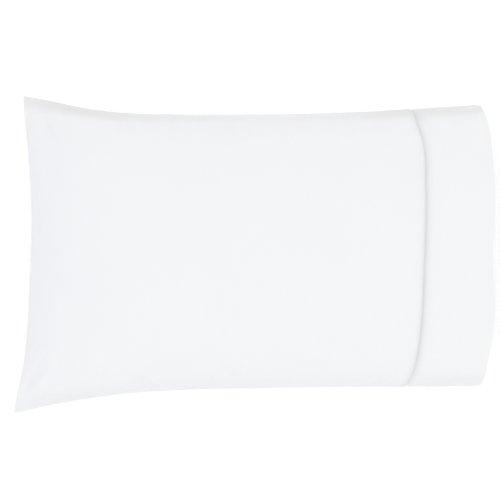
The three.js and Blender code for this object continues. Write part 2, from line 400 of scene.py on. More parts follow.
# %% [markdown]
# The stitches hold their points fast. Everywhere else a light hold stands for the pillow, which keeps the
# broad form but lets the cloth buckle. The spare length is uneven, as no hand feeds two layers of cloth
# evenly under the needle.

# %% Where the net is held and where it has cloth to spare
START_UNEVEN = 0.0002
UNEVEN_SPREAD = (2, 5)      # rows and steps of the net
LIGHT_HOLD = 0.04
SPARE_FACE = 0.2            # share of the greatest spare length on the broad faces
SPARE_SEAM = 0.7            # and how much more there is beside the seams
SPARE_REACH = 0.035
SPARE_MIDDLE = 0.65         # of what a place could have, this much is usual
SPARE_VARIES = 0.3          # and this much more or less
SPARE_SPREAD = (5, 6)
NET_SEED = 3

random_field = np.random.default_rng(NET_SEED)
net_uneven = blurred(random_field.normal(size=net_along.shape), *UNEVEN_SPREAD)
net_uneven = net_uneven * START_UNEVEN / net_uneven.std()
net_held = np.full(net_along.shape, LIGHT_HOLD)
net_held[:, [0, NET_STEPS // 2]] = 1
net_held[0] = 1
net_loose = blurred(random_field.normal(size=net_along.shape), *SPARE_SPREAD)
net_spare = SPARE_FACE + SPARE_SEAM * np.exp(-(from_seam(net_along, net_turn) / SPARE_REACH) ** 2)
net_spare = np.clip(net_spare * (SPARE_MIDDLE + SPARE_VARIES * net_loose / net_loose.std()), 0, 1)
print("spare cloth, share of the most:", round(float(net_spare.mean()), 2))

# %% Run the solver on the net
SETTLE_FRAMES = 14
SOLVER_STEPS = 5            # in each frame
SETTLE_PRESSURE = 1.0
SPARE_CLOTH = 0.03          # spare length where the cloth is loosest
CLOTH_MASS = 0.15           # kilograms of a square metre, as percale has
STRETCH_STIFFNESS = 15
BEND_STIFFNESS = 6          # crisp, starched cotton
THREAD_DAMPING = 2
AIR_DAMPING = 4


def add_solver(net):
    """Gives the net its cloth solver, which works without gravity and collisions."""
    cloth = net.modifiers.new("Cloth", "CLOTH")
    solver = cloth.settings
    solver.quality = SOLVER_STEPS
    solver.mass = CLOTH_MASS
    solver.tension_stiffness = solver.compression_stiffness = STRETCH_STIFFNESS
    solver.shear_stiffness = STRETCH_STIFFNESS / 2
    solver.bending_stiffness = BEND_STIFFNESS
    solver.tension_damping = solver.compression_damping = solver.shear_damping = THREAD_DAMPING
    solver.air_damping = AIR_DAMPING
    solver.vertex_group_mass = weigh(net, "held", net_held)
    solver.vertex_group_shrink = weigh(net, "taut", 1 - net_spare)
    solver.shrink_min = -SPARE_CLOTH
    solver.shrink_max = 0
    solver.use_pressure = True
    solver.uniform_pressure_force = SETTLE_PRESSURE
    solver.effector_weights.gravity = 0
    cloth.collision_settings.use_collision = False
    cloth.point_cache.frame_start, cloth.point_cache.frame_end = 1, SETTLE_FRAMES


def settle():
    """Lets the net settle, takes it away again and returns how far its points moved outwards."""
    net = make_net(net_uneven)
    add_solver(net)
    for frame_number in range(1, SETTLE_FRAMES + 1):
        bpy.context.scene.frame_set(frame_number)
    settled_net = net.evaluated_get(bpy.context.evaluated_depsgraph_get())
    settled_mesh = settled_net.to_mesh()
    place = np.empty(len(settled_mesh.vertices) * 3)
    settled_mesh.vertices.foreach_get("co", place)
    settled_net.to_mesh_clear()
    bpy.context.scene.frame_set(1)
    bpy.data.meshes.remove(net.data)
    moved = place.reshape(*net_along.shape, 3) - smooth_place(net_along, net_turn)
    return (moved * outward(net_along, net_turn)).sum(axis=-1)


# %% [markdown]
# The pillow's pressure also moves whole faces. Averaging the result over its neighbours gives that broad
# movement, and taking it away leaves the puckers. A light average then smooths the net's own grain.

# %% Keep the fine shape of the settled cloth
BROAD_SPREAD = (6, 6)
GRAIN_SPREAD = (0.8, 0.8)

settled = settle()
puckers = blurred(settled - blurred(settled, *BROAD_SPREAD), *GRAIN_SPREAD)
print("puckers, mm:", round(float(puckers.std()) * 1000, 2), round(float(puckers.max()) * 1000, 2))


def cubic_weights(share):
    """Weights of four neighbours in a row for a smooth curve between the middle two."""
    return [((-0.5 * share + 1) * share - 0.5) * share, (1.5 * share - 2.5) * share ** 2 + 1,
            ((-1.5 * share + 2) * share + 0.5) * share, (0.5 * share - 0.5) * share ** 2]


def net_field(field, along, turn):
    """Reads a field of the net anywhere on the cloth."""
    row = np.clip(np.maximum(along, 0) ** (1 / NET_CROWD) * NET_ROWS - 1, 0, NET_ROWS - 1)
    step = (turn % 1) * NET_STEPS
    first_row, first_step = np.floor(row).astype(int), np.floor(step).astype(int)
    row_weights, step_weights = cubic_weights(row - first_row), cubic_weights(step - first_step)
    total = 0
    for i, row_weight in enumerate(row_weights):
        from_row = np.clip(first_row + i - 1, 0, NET_ROWS - 1)
        for j, step_weight in enumerate(step_weights):
            from_step = (first_step + j - 1) % NET_STEPS
            total = total + row_weight * step_weight * field[from_row, from_step]
    return total


# %% Puckers on the case
PUCKER_LIMIT = 0.0035
PUCKER_SHARE_FACE = 0.20    # how much of the settled shape is kept on the broad faces
PUCKER_SHARE_SEAM = 0.36    # and how much more beside the seams
PUCKER_SHARE_HEM = 0.6      # the hem, two cloths thick, keeps this share of them
PUCKER_REACH = 0.075
PUCKER_FADE = 0.005         # at the stitches themselves the cloth lies still
TUCK_MIDDLE = 0.002         # past the hem line
TUCK_CALM = (0.012, 0.045)  # up to the first distance from the tuck no pucker, from the second on all
FLOOR_HOLD = 4              # how abruptly the cloth that lies on the floor stops holding still


def free_under(along, across):
    """1 where the underside hangs free, 0 where it lies on the floor."""
    return 1 - on_floor(along, across) ** FLOOR_HOLD


def pucker_lift(along, turn):
    """The settled puckers: strongest near the seams, none at the hem line or on the floor."""
    across = across_at(turn)
    distance = from_seam(along, turn)
    share = PUCKER_SHARE_FACE + PUCKER_SHARE_SEAM * np.exp(-(distance / PUCKER_REACH) ** 2)
    past_hem = (along - hem_line(across)) * FLAT_LENGTH
    share = share * smooth_step(np.abs(past_hem - TUCK_MIDDLE), *TUCK_CALM)
    share = share * np.where(past_hem > 0, PUCKER_SHARE_HEM, 1)
    share = share * (1 - np.exp(-(distance / PUCKER_FADE) ** 2))
    share = share * np.where(upward_at(turn) < 0, free_under(along, across), 1)
    return PUCKER_LIMIT * np.tanh(net_field(puckers, along, turn) * share / PUCKER_LIMIT)


seam_pucker = pucker_lift(net_along, net_turn)
print("puckers on the case, mm:", round(float(seam_pucker.max() - seam_pucker.min()) * 1000, 2))

# %% All the creases together
# Columns: place round the mouth (0 lower seam, 0.25 top, 0.5 upper seam), half width, rise.
MOUTH_WAVES = [
    (0.040, 0.020, -0.0028), (0.112, 0.024, -0.0016), (0.168, 0.034, 0.0024), (0.236, 0.030, -0.0020),
    (0.300, 0.032, 0.0018), (0.352, 0.022, -0.0020), (0.404, 0.020, 0.0012), (0.462, 0.020, -0.0036),
    (0.560, 0.030, 0.0020), (0.930, 0.034, 0.0022)]
MOUTH_WAVE_REACH = 0.085
SIDE_FADE = 6               # how fast the creases of a face die away at the side seams


def mouth_lift(along, turn):
    """The free edge of the mouth waves a little, less and less towards the hem line."""
    waves = sum(rise * np.exp(-((turn - middle) / width) ** 2) for middle, width, rise in MOUTH_WAVES)
    return waves * np.exp(-((1 - along) * FLAT_LENGTH / MOUTH_WAVE_REACH) ** 2)


def crease_lift(along, turn, place):
    """How far the creases push the cloth out at each place."""
    across, upward = across_at(turn), upward_at(turn)
    top = np.clip(upward * SIDE_FADE, 0, 1)
    under = np.clip(-upward * SIDE_FADE, 0, 1) * free_under(along, across)
    lift = pucker_lift(along, turn) + mouth_lift(along, turn)
    for x1, y1, x2, y2, width, height in MAIN_CREASES:
        lift += top * stroke(place, (x1, y1), (x2, y2), width, height)
    cloth_x = along * FLAT_LENGTH
    cloth_y = across * np.sign(upward + TINY) * FLAT_WIDTH / 2
    drift = sum(height * np.sin(wave_x * cloth_x + wave_y * cloth_y + phase)
                for wave_x, wave_y, phase, height in drift_list)
    return lift + drift * (top + under)


print("waves of the mouth:", len(MOUTH_WAVES))

# %% [markdown]
# ## The hem
# The body cloth ends in a narrow tuck, a fold that stands over the hem and throws the one dark line on
# the whole case. Drawing that line only in the shader would fail from every other side, so the tuck is a
# real fold: the cloth runs to its edge, turns under, and the hem starts below it. The shade of the fold
# is deepened by a painted shade in the cloth's colour along its groove. Where the case lies on the floor
# the fold is pressed up instead, so it has a second profile there.

# %% Profile of the tuck
# Columns: distance past the hem line, lift, lift where the floor presses.
TUCK = [
    (-0.0260, 0.0000, 0.0000),
    (-0.0170, 0.0006, 0.0000),
    (-0.0110, 0.0015, 0.0000),
    (-0.0070, 0.0022, 0.0000),
    (-0.0040, 0.0024, 0.0000),
    (-0.0018, 0.0020, -0.0002),
    (-0.0003, 0.0012, -0.0006),
    (0.0004, 0.0002, -0.0011),
    (0.0002, -0.0008, -0.0014),
    (-0.0010, -0.0014, -0.0016),
    (-0.0024, -0.0018, -0.0018),
    (-0.0030, -0.0025, -0.0022),
    (-0.0024, -0.0034, -0.0028),
    (-0.0006, -0.0042, -0.0032),
    (0.0018, -0.0046, -0.0034),
    (0.0045, -0.0043, -0.0031),
    (0.0078, -0.0034, -0.0023),
    (0.0120, -0.0021, -0.0013),
    (0.0170, -0.0010, -0.0006),
    (0.0230, -0.0003, -0.0002),
    (0.0300, 0.0000, 0.0000),
]
TUCK_FACE = TUCK[:6]        # the rows of its upper face
HEM_SIDE = TUCK[-8:]        # and those where the hem rises from under it
TUCK_FADE_START = 0.92      # towards the side seams the tuck is sewn down flat from here
TUCK_FADE = 0.75
TUCK_PRESS = 3              # how abruptly the floor stops pressing it up

hem_sink = curve_through([(past, -lift) for past, lift, _ in HEM_SIDE])


def pressed_up(along, turn):
    """1 where the tuck lies on the floor, 0 where it hangs free."""
    return on_floor(along, across_at(turn)) ** TUCK_PRESS * (upward_at(turn) < 0)


print("the tuck stands out, mm:", max(row[1] for row in TUCK) * 1000)

# %% Any point of the cloth
LIP_ROLL = 0.0015           # the mouth's edge turns in this much
LIP_LENGTH = 0.009
SEAM_RIDGE = 0.0010         # the stitched edge stands out this much
SEAM_RIDGE_WIDTH = 0.0016
SEAM_DIP = 0.0009           # of a shallow dip on both sides of it
SEAM_DIP_PLACE = 0.0050
SEAM_DIP_WIDTH = 0.0030


def seam_pinch(along, turn):
    """The ridge of the felled seam with the dip beside it."""
    distance = from_seam(along, turn)
    ridge = SEAM_RIDGE * np.exp(-(distance / SEAM_RIDGE_WIDTH) ** 2)
    return ridge - SEAM_DIP * np.exp(-((distance - SEAM_DIP_PLACE) / SEAM_DIP_WIDTH) ** 2)


def cloth_place(along, turn, lift=0.0, floor_gap=0.0, creases=None):
    """A point of the creased cloth, with an extra lift and never nearer the floor than floor_gap."""
    place = smooth_place(along, turn)
    to_mouth = (1 - along) * FLAT_LENGTH
    roll = -LIP_ROLL * (1 - smooth_step(to_mouth, 0, LIP_LENGTH))
    if creases is None:
        creases = crease_lift(along, turn, place)
    lift = lift + creases + seam_pinch(along, turn) + roll
    place = place + outward(along, turn) * lift[..., None]
    place[..., 2] = np.maximum(place[..., 2], floor_gap)
    return place


seam_profile = seam_pinch(np.array([0.5, 0.5]), np.array([0.0, 0.25]))
print("the seam stands out over the crown, mm:", round(float(-np.diff(seam_profile)[0]) * 1000, 2))

# %% [markdown]
# ## One thin skin
# The cloth is built as rings round the case, first outside from the closed end to the mouth, then round
# the lip and back along the inside. Joining each ring to the next gives one closed shell that is as
# thick as cloth, with no loose edges anywhere.

# %% Where the outer rings run
FIRST_RING = 0.00004 / FLAT_LENGTH      # all but at the closed end
END_ZONE = 0.150 / FLAT_LENGTH          # up to here the rings crowd towards the closed end
END_RINGS = 58
END_CROWD = 1.9
BODY_RINGS = 118
HEM_RINGS = 28
TUCK_START, TUCK_END = TUCK[0][0] / FLAT_LENGTH, TUCK[-1][0] / FLAT_LENGTH
LIP_START = 1 - 0.0100 / FLAT_LENGTH    # the last centimetre has rings of its own
LIP_SHARES = [0, 0.3, 0.55, 0.75, 0.9, 1]

turns = np.arange(RING) / RING
ring_across = across_at(turns)
hem_along = hem_line(ring_across)


def graded(count, crowd=1.0):
    """Shares from 0 to just short of 1, which crowd towards 0 when crowd is over 1."""
    return (np.arange(count) / count) ** crowd


def rings_between(start, end, shares):
    """Rings that change little by little from one line round the case to another."""
    start, end = np.broadcast_to(start, RING), np.broadcast_to(end, RING)
    return [start + (end - start) * share for share in shares]


body_rings = rings_between(FIRST_RING, END_ZONE, graded(END_RINGS, END_CROWD))
body_rings += rings_between(END_ZONE, hem_along + TUCK_START, graded(BODY_RINGS))
tuck_along = np.array([hem_along + past / FLAT_LENGTH for past, _, _ in TUCK])
hem_rings = rings_between(hem_along + TUCK_END, LIP_START, graded(HEM_RINGS)[1:])
lip_rings = rings_between(LIP_START, 1, LIP_SHARES)
outer_along = np.array(body_rings + list(tuck_along) + hem_rings + lip_rings)
print("rings of the body, tuck, hem and lip:",
      len(body_rings), len(tuck_along), len(hem_rings), len(lip_rings))

# %% The outside of the case
pressed = pressed_up(tuck_along, turns)
tuck_lift = np.array([row[1] for row in TUCK])[:, None] * (1 - pressed)
tuck_lift = tuck_lift + np.array([row[2] for row in TUCK])[:, None] * pressed
tuck_lift = tuck_lift * (1 - TUCK_FADE * smooth_step(np.abs(ring_across), TUCK_FADE_START, 1))

outer_lift = np.zeros(outer_along.shape)
outer_lift[len(body_rings):len(body_rings) + len(TUCK)] = tuck_lift
outer = cloth_place(outer_along, np.broadcast_to(turns, outer_along.shape), outer_lift)
print("outer rings:", len(outer_along))

# %% [markdown]
# Nothing fills the ears, so their two faces lie on each other. Left to the formulas, a crease pressed
# into the upper face would come out through the lower one, so the faces are kept a little apart. The
# inside needs two more cares. Its rings lie far apart, so each one looks a little ahead and behind for
# the deepest crease and stays under it. And it is drawn in from the ears, where two layers of cloth
# leave no room for it.

# %% Faces that may touch but not cross
OPPOSITE = (RING - np.arange(RING)) % RING
AIR_BETWEEN = 0.0004
FACES_APART = 2 * BODY_WALL + AIR_BETWEEN
FACES_REACH = 0.003         # they meet at the seam and reach that distance over this length


def part_faces(rings, gap):
    """Keeps the upper and the lower face of each ring at least gap apart."""
    middle = (rings[..., 2] + rings[:, OPPOSITE, 2]) / 2
    side = np.where(np.arange(RING) <= HALF_RING, 1, -1)
    rings[..., 2] = middle + side * np.maximum((rings[..., 2] - middle) * side, gap / 2)
    rings[:, [0, HALF_RING], 2] = middle[:, [0, HALF_RING]]
    return rings


outer_gap = FACES_APART * (1 - np.exp(-from_seam(outer_along, turns) / FACES_REACH))
outer = part_faces(outer, outer_gap)
print("faces kept apart, mm:", round(float(outer_gap.max()) * 1000, 1))

# %% Keeping the inside under the creases and out of the ears
LOOK_ROUND = 0.0145         # half the distance of the inner rings, as a share of the length
EAR_CLOSED = 0.16           # share of the half width that the inside leaves out at the closed end
EAR_CLOSED_REACH = 0.085    # and how far from the closed end it still does


def drawn_in(along, turn):
    """The turn that the inside has for a turn of the outside: the same, but short of the ears."""
    from_end = along * FLAT_LENGTH
    across = across_at(turn) * (1 - EAR_CLOSED * np.exp(-(from_end / EAR_CLOSED_REACH) ** 2))
    half = np.arccos(np.clip(-across, -1, 1)) / (2 * np.pi)
    return np.where(np.arange(RING) <= HALF_RING, half, 1 - half)


def lowest_crease(along, turn, reach):
    """The deepest crease within reach of each point, looking along the case."""
    nearby = [np.clip(along + share * reach, 0, 1) for share in (-1, -0.5, 0, 0.5, 1)]
    return np.min([crease_lift(near, turn, smooth_place(near, turn)) for near in nearby], axis=0)


print("half width without the ears:", round(1 - EAR_CLOSED, 2))

# %% The inside of the case
INNER_MOUTH = 1 - 0.003 / FLAT_LENGTH   # the first ring inside the mouth
HEM_STEP = (0.004, -0.002)  # shares of the length past the hem line between which the inside steps
INNER_END_ZONE = 0.020      # and at which its last rings start
INNER_LAST = 0.003          # and towards which they run
INNER_HEM_RINGS = 16
INNER_BODY_RINGS = 28
INNER_END_RINGS = 3
HEM_THICKENS = (-0.006, -0.003)     # metres past the hem line in which the wall gains its second cloth
HEM_SINKS = (-0.006, -0.001)        # and in which it follows the dip under the tuck
ALLOWANCE_WIDTH = (0.002, 0.006)    # metres from the side seam in which the allowance ends
LOOK_FROM = -0.012          # metres past the hem line up to which the inside looks for creases
INNER_APART = 0.0002

inner_along = np.array(
    rings_between(INNER_MOUTH, hem_along + HEM_STEP[0], graded(INNER_HEM_RINGS))
    + rings_between(hem_along + HEM_STEP[1], INNER_END_ZONE, graded(INNER_BODY_RINGS))
    + rings_between(INNER_END_ZONE, INNER_LAST, graded(INNER_END_RINGS)))
past_hem = (inner_along - hem_along) * FLAT_LENGTH
from_side = side_distance(ring_across)
inner_wall = BODY_WALL + (HEM_WALL - BODY_WALL) * smooth_step(past_hem, *HEM_THICKENS)
inner_wall = inner_wall + hem_sink(past_hem) * smooth_step(past_hem, *HEM_SINKS)
inner_wall = inner_wall + SEAM_ALLOWANCE * (1 - smooth_step(from_side, *ALLOWANCE_WIDTH))
inner_turn = drawn_in(inner_along, np.broadcast_to(turns, inner_along.shape))
deepest = lowest_crease(inner_along, inner_turn, LOOK_ROUND * (past_hem < LOOK_FROM))
inner = cloth_place(inner_along, inner_turn, -inner_wall, BODY_WALL, deepest)
inner = part_faces(inner, INNER_APART)
print("inner rings:", len(inner_along))

# %% The lip between outside and inside
LIP_STEPS = 5

lip_out, lip_in = outer[-1], inner[0]
lip = []
for step in range(1, LIP_STEPS + 1):
    angle = math.pi * step / (LIP_STEPS + 1)
    between = lip_out + (lip_in - lip_out) * (1 - math.cos(angle)) / 2
    between = between + np.array([HEM_WALL / 2 * math.sin(angle), 0, 0])
    lip.append(between)
print("lip rings:", len(lip))

# %% [markdown]
# ## Marks on the cloth, and painted shade
# Two things are noted for every point, and the shader reads them as attributes. "cloth" is its flat
# place, so the weave follows the threads however the cloth bends. "tone" is painted shade: it greys
# the colour in the groove of the tuck and in a band beside the felled seams. It follows the sewing,
# not the cloth's height or direction.

# %% Painted shade of the tuck and beside the felled seams
PAINTED_FOLD_PLACE = 0.0012    # past the hem line, where the fold is darkest
PAINTED_FOLD_WIDTH = 0.0066
PAINTED_SEAM_WIDTH = 0.021     # on the flat cloth
PAINTED_SEAM_EDGE = 4          # how abruptly it ends
PAINTED_SEAM_UNDER = 0.5       # share of it that the underside loses
PAINTED_SEAM_TURN = 0.35       # from this far round the underside on

# Columns: place across (-1 lower seam, 1 upper seam), strength of the painted shade in the tuck.
painted_fold_share = curve_through([
    (-1, 0.85), (-0.9, 0.90), (-0.6, 0.97), (-0.2, 0.97), (0.2, 0.95), (0.4, 0.88), (0.65, 0.80),
    (0.79, 0.78), (0.87, 1.15), (0.93, 1.10), (1, 0.95)])

# Columns: share of the length, painted shade beside the upper seam, painted shade beside the lower seam.
PAINTED_SEAM_SHADES = [
    (0, 0.56, 0.18), (0.045, 0.66, 0.18), (0.12, 0.72, 0.15), (0.22, 0.50, 0.08), (0.385, 0.32, 0.09),
    (0.6, 0.16, 0.03), (0.7, 0.34, 0.03), (0.79, 0.61, 0.05), (0.93, 0.50, 0.18), (1, 0.50, 0.18)]
upper_painted_seam_shade = curve_through(PAINTED_SEAM_SHADES, 1)
lower_painted_seam_shade = curve_through(PAINTED_SEAM_SHADES, 2)


def cloth_marks(rings, alongs):
    """The flat place of each point, along and around by true distance, and its painted shade."""
    rings = np.array(rings)
    steps = np.linalg.norm(np.roll(rings, -1, axis=1) - rings, axis=-1)
    around = np.cumsum(steps, axis=1) - steps
    around = around / steps.sum(axis=1, keepdims=True) * 2 * FLAT_WIDTH
    share = np.broadcast_to(np.asarray(alongs), around.shape)
    past_hem = (share - hem_along) * FLAT_LENGTH
    # painted shade: the groove of the tuck is greyed in the colour, most just past the hem line
    fold = painted_fold_share(ring_across) * np.exp(-((past_hem - PAINTED_FOLD_PLACE) / PAINTED_FOLD_WIDTH) ** 2)
    # painted shade: a band beside the side seams is greyed in the colour, weaker on the underside
    seam = np.where(ring_across > 0, upper_painted_seam_shade(share), lower_painted_seam_shade(share))
    seam = seam * np.exp(-(from_side / PAINTED_SEAM_WIDTH) ** PAINTED_SEAM_EDGE)
    seam = seam * (1 - PAINTED_SEAM_UNDER * smooth_step(-upward_at(turns), 0, PAINTED_SEAM_TURN))
    nothing = np.zeros(around.shape)
    return {"cloth": np.stack([share * FLAT_LENGTH, around, nothing], axis=-1),
            "tone": np.stack([fold, seam, nothing], axis=-1)}


print("strongest tones of the tuck and the seams:", max(painted_fold_share(ring_across).round(2)),
      max(row[1] for row in PAINTED_SEAM_SHADES))

# %% [markdown]
# ## From rings to a mesh
# Both ends of the run are folded flat: the upper and lower half of the first and the last ring share
# their points, as the two faces of a case share its closed seam. That leaves no open edge, so the mesh
# is a solid skin of cloth. The two end bands are cut into triangles here, all slanting the same way,
# because beside a fold two quads could otherwise be cut along the same line.

# %% Skin through the rings
def folded(along, ring_turn):
    """The line where the two faces meet at the closed end, as a ring whose halves coincide."""
    ring = cloth_place(np.full((1, RING), along), ring_turn)[0]
    return (ring + ring[OPPOSITE]) / 2


def skin(name, rings, marks):
    """A closed mesh through rings of equal length, folded flat at the first and the last."""
    last = len(rings) - 1
    fold = np.minimum(np.arange(RING), OPPOSITE)
    index = np.empty((len(rings), RING), int)
    used = 0
    for number in range(len(rings)):
        if number in (0, last):
            index[number] = used + fold
            used += HALF_RING + 1
        else:
            index[number] = used + np.arange(RING)
            used += RING

    def joined(rows):
        return np.concatenate([row[:HALF_RING + 1] if number in (0, last) else row
                               for number, row in enumerate(rows)])

    following = np.roll(index, -1, axis=1)
    bands = np.stack([index[:-1], index[1:], following[1:], following[:-1]], axis=-1)
    ends = bands[[0, -1]].reshape(-1, 4)
    faces = bands[1:-1].reshape(-1, 4).tolist()
    faces += ends[:, :3].tolist() + ends[:, [0, 2, 3]].tolist()
    mesh = bpy.data.meshes.new(name)
    mesh.from_pydata(joined(rings).tolist(), [], faces)
    for mark, rows in marks.items():
        attribute = mesh.attributes.new(mark, "FLOAT_VECTOR", "POINT")
        attribute.data.foreach_set("vector", joined(rows).ravel())
    mesh.shade_smooth()
    piece = bpy.data.objects.new(name, mesh)
    bpy.context.scene.collection.objects.link(piece)
    print(name, "points", len(mesh.vertices), "triangles", 2 * RING * last)
    return piece


# %% The cloth of the case
INNER_FOLD = 0.0022         # share of the length at which the inside ends
inner_end = folded(INNER_FOLD, drawn_in(np.full((1, RING), INNER_FOLD), turns[None, :]))
case_rings = [folded(0.0, turns[None, :]), *outer, *lip, *inner, inner_end]
case_along = [np.zeros(RING), *outer_along, *[np.full(RING, 1.0)] * LIP_STEPS, *inner_along,
              np.full(RING, INNER_FOLD)]
case_cloth = skin("case_cloth", case_rings, cloth_marks(case_rings, case_along))

# %% [markdown]
# ## The end of the pillow
# Only the last of the pillow shows, deep in the mouth, so only that much of it is made. A whole pillow
# would add as many faces again that nobody sees. It leaves the cloth at the hem line, swells towards the
# mouth and closes in a sewn edge with small puckers.

# %% Where the pillow lies against the case
PILLOW_PLACES = [0.66, 0.70, 0.74, 0.78, 0.805, 0.820, 0.830]   # shares of the length, up to its rim
PILLOW_GAP = 0.0016         # between the pillow's ticking and the inside of the case
DEEPEST_DIP = -min(row[1] for row in TUCK)


def pillow_ring(along):
    """A ring of the pillow inside the case, under the hem's wall and its deepest dip."""
    lift = np.full((1, RING), -(HEM_WALL + DEEPEST_DIP + PILLOW_GAP))
    return cloth_place(np.full((1, RING), along), turns[None, :], lift, HEM_WALL + PILLOW_GAP)[0]


pillow_back = pillow_ring(PILLOW_PLACES[0])
pillow_back[:, 2] = (pillow_back[:, 2] + pillow_back[OPPOSITE, 2]) / 2
pillow_back[:, 0] -= BODY_WALL
pillow_body = [pillow_back, *[pillow_ring(along) for along in PILLOW_PLACES]]
pillow_rim = pillow_body[-1]
print("rings of the pillow's body:", len(pillow_body))

# %% Puckers of the pillow's sewn edge
PILLOW_PUCKERS = 64         # on each face
PILLOW_PUCKER_WIDTHS = (0.010, 0.030)   # shares of the half width
PILLOW_PUCKER_HEIGHTS = (-1, 0.5)       # more of them go in than out
TOP_PUCKERS_SEED, UNDER_PUCKERS_SEED = 23, 29


def pillow_pucker_wave(rng):
    """Uneven puckers across the pillow's sewn edge, as a height for each step of the ring."""
    wave = np.zeros(RING)
    for _ in range(PILLOW_PUCKERS):
        centre = rng.uniform(-1, 1)
        width = rng.uniform(*PILLOW_PUCKER_WIDTHS)
        height = rng.uniform(*PILLOW_PUCKER_HEIGHTS)
        wave += height * np.exp(-((ring_across - centre) / width) ** 2)
    return wave


puckers_top = pillow_pucker_wave(random.Random(TOP_PUCKERS_SEED))
puckers_under = pillow_pucker_wave(random.Random(UNDER_PUCKERS_SEED))
pillow_puckers = np.where(upward_at(turns) >= 0, puckers_top, puckers_under)
print("puckers of the sewn edge:", 2 * PILLOW_PUCKERS)

# %% The pillow's swelling end
PILLOW_BULGE = 0.056        # towards the mouth, in its middle
PILLOW_EDGE_BULGE = 0.010   # and at its two sides
BULGE_POWER = 3             # how abruptly it falls from one to the other
PILLOW_DRAW_IN = 0.06       # share of its width that it loses towards the sewn edge
PILLOW_SINK = 0.004         # its sewn edge lies this much under the side seams of the case
PILLOW_PUCKER = 0.0016      # height of its puckers
PILLOW_PUCKER_REACH = 0.22  # from the sewn edge, as a share of the dome
PILLOW_WELT = 0.0022        # the sewn edge stands out this much
WELT_WIDTH = 0.035          # a share of the dome too
WELT_DIP = 0.8              # the dip before it, as a share of the welt
WELT_DIP_PLACE = 0.085      # and its place and width, as shares of the dome
WELT_DIP_WIDTH = 0.05
PILLOW_SIDE_FADE = 12       # how abruptly the sewn edge dies away at its two ends
DOME_RINGS = 34
DOME_CLOTH = 0.09           # flat cloth in the dome, as a share of the case's length

pillow_middle_y = (pillow_rim[0, 1] + pillow_rim[HALF_RING, 1]) / 2
pillow_level = seam_level(np.full(RING, PILLOW_PLACES[-1]), ring_across) - PILLOW_SINK


def dome_ring(share):
    """A ring of the pillow's end, from the one that leaves the cloth (0) to the sewn edge (1)."""
    bulge = PILLOW_BULGE + (PILLOW_EDGE_BULGE - PILLOW_BULGE) * np.abs(ring_across) ** BULGE_POWER
    welt = PILLOW_WELT * np.exp(-((1 - share) / WELT_WIDTH) ** 2)
    dip = -PILLOW_WELT * WELT_DIP * np.exp(-((1 - share - WELT_DIP_PLACE) / WELT_DIP_WIDTH) ** 2)
    pucker = PILLOW_PUCKER * pillow_puckers * math.exp(-(1 - share) / PILLOW_PUCKER_REACH) * (share < 1)
    sewn = (welt + dip + pucker) * share * (1 - np.abs(ring_across) ** PILLOW_SIDE_FADE)
    ring = pillow_rim.copy()
    ring[:, 0] += bulge * math.sin(share * math.pi / 2) + sewn
    ring[:, 1] = pillow_middle_y + (ring[:, 1] - pillow_middle_y) * (1 - PILLOW_DRAW_IN * share)
    ring[:, 2] += (pillow_level - ring[:, 2]) * share
    return ring


dome_shares = [(step + 1) / DOME_RINGS for step in range(DOME_RINGS)]
pillow_rings = pillow_body + [dome_ring(share) for share in dome_shares]
pillow_flat = [PILLOW_PLACES[0], *PILLOW_PLACES]
pillow_flat += [PILLOW_PLACES[-1] + share * DOME_CLOTH for share in dome_shares]
pillow_marks = cloth_marks(pillow_rings, np.array(pillow_flat)[:, None])
# the pillow gets no painted shade
pillow_marks["tone"] *= 0
pillow_end = skin("pillow_end", pillow_rings, pillow_marks)

# %% [markdown]
# ## Stitches
# One row of lockstitch holds the tuck, close behind its edge. Each stitch is a short fat thread that
# dives into the cloth at both ends. They are many and alike, so one small shape is placed along the
# line again and again and kept as a single mesh.

# %% Where the stitches go
STITCH_PITCH = 0.0029
STITCH_BACK = 0.0034        # how far behind the tuck's edge the row runs
LINE_POINTS = 6001          # places at which the row is measured

tuck_curve = curve_through(TUCK_FACE)


def stitch_line():
    """Evenly spaced places along the stitch row, with the cloth's facing at each."""
    fine = np.linspace(0, 1, LINE_POINTS)
    along = hem_line(across_at(fine)) - STITCH_BACK / FLAT_LENGTH
    lift = float(tuck_curve(-STITCH_BACK)) * (1 - pressed_up(along, fine))
    points = cloth_place(along, fine, lift)
    facing = outward(along, fine)
    run = np.concatenate([[0], np.cumsum(np.linalg.norm(np.diff(points, axis=0), axis=1))])
    count = int(run[-1] / STITCH_PITCH)
    at = (np.arange(count) + 0.5) * run[-1] / count
    place = np.stack([np.interp(at, run, points[:, axis]) for axis in range(3)], axis=1)
    normal = np.stack([np.interp(at, run, facing[:, axis]) for axis in range(3)], axis=1)
    ahead = np.roll(place, -1, axis=0) - np.roll(place, 1, axis=0)
    return place, normal, ahead / np.linalg.norm(ahead, axis=1, keepdims=True)


stitch_places = stitch_line()
print("stitches:", len(stitch_places[0]))

# %% Stitches along the tuck
STITCH_LENGTH = 0.0023
THREAD_RADIUS = 0.00022
STITCH_END = 0.10           # square of the ends' radius, as a share of the middle's
STITCH_ARCH = 1.5           # how high a stitch arches, in thread radii
STITCH_SUNK = 0.9           # and how deep its line lies under the cloth
STITCH_SIDES = 6
STITCH_SECTIONS = 5


def stitch_points(centre, up, forward, side):
    """Points of one stitch, a short tube that is fat in its middle."""
    points = []
    for section in range(STITCH_SECTIONS):
        share = section / (STITCH_SECTIONS - 1) * 2 - 1
        swell = math.sqrt(max(STITCH_END, 1 - share * share))
        middle = centre + forward * share * STITCH_LENGTH / 2
        middle = middle + up * THREAD_RADIUS * (STITCH_ARCH * swell - STITCH_SUNK)
        middle[2] = max(middle[2], THREAD_RADIUS)
        for corner in range(STITCH_SIDES):
            angle = 2 * math.pi * corner / STITCH_SIDES
            spread = side * math.cos(angle) + up * math.sin(angle)
            points.append(middle + spread * THREAD_RADIUS * swell)
    return points


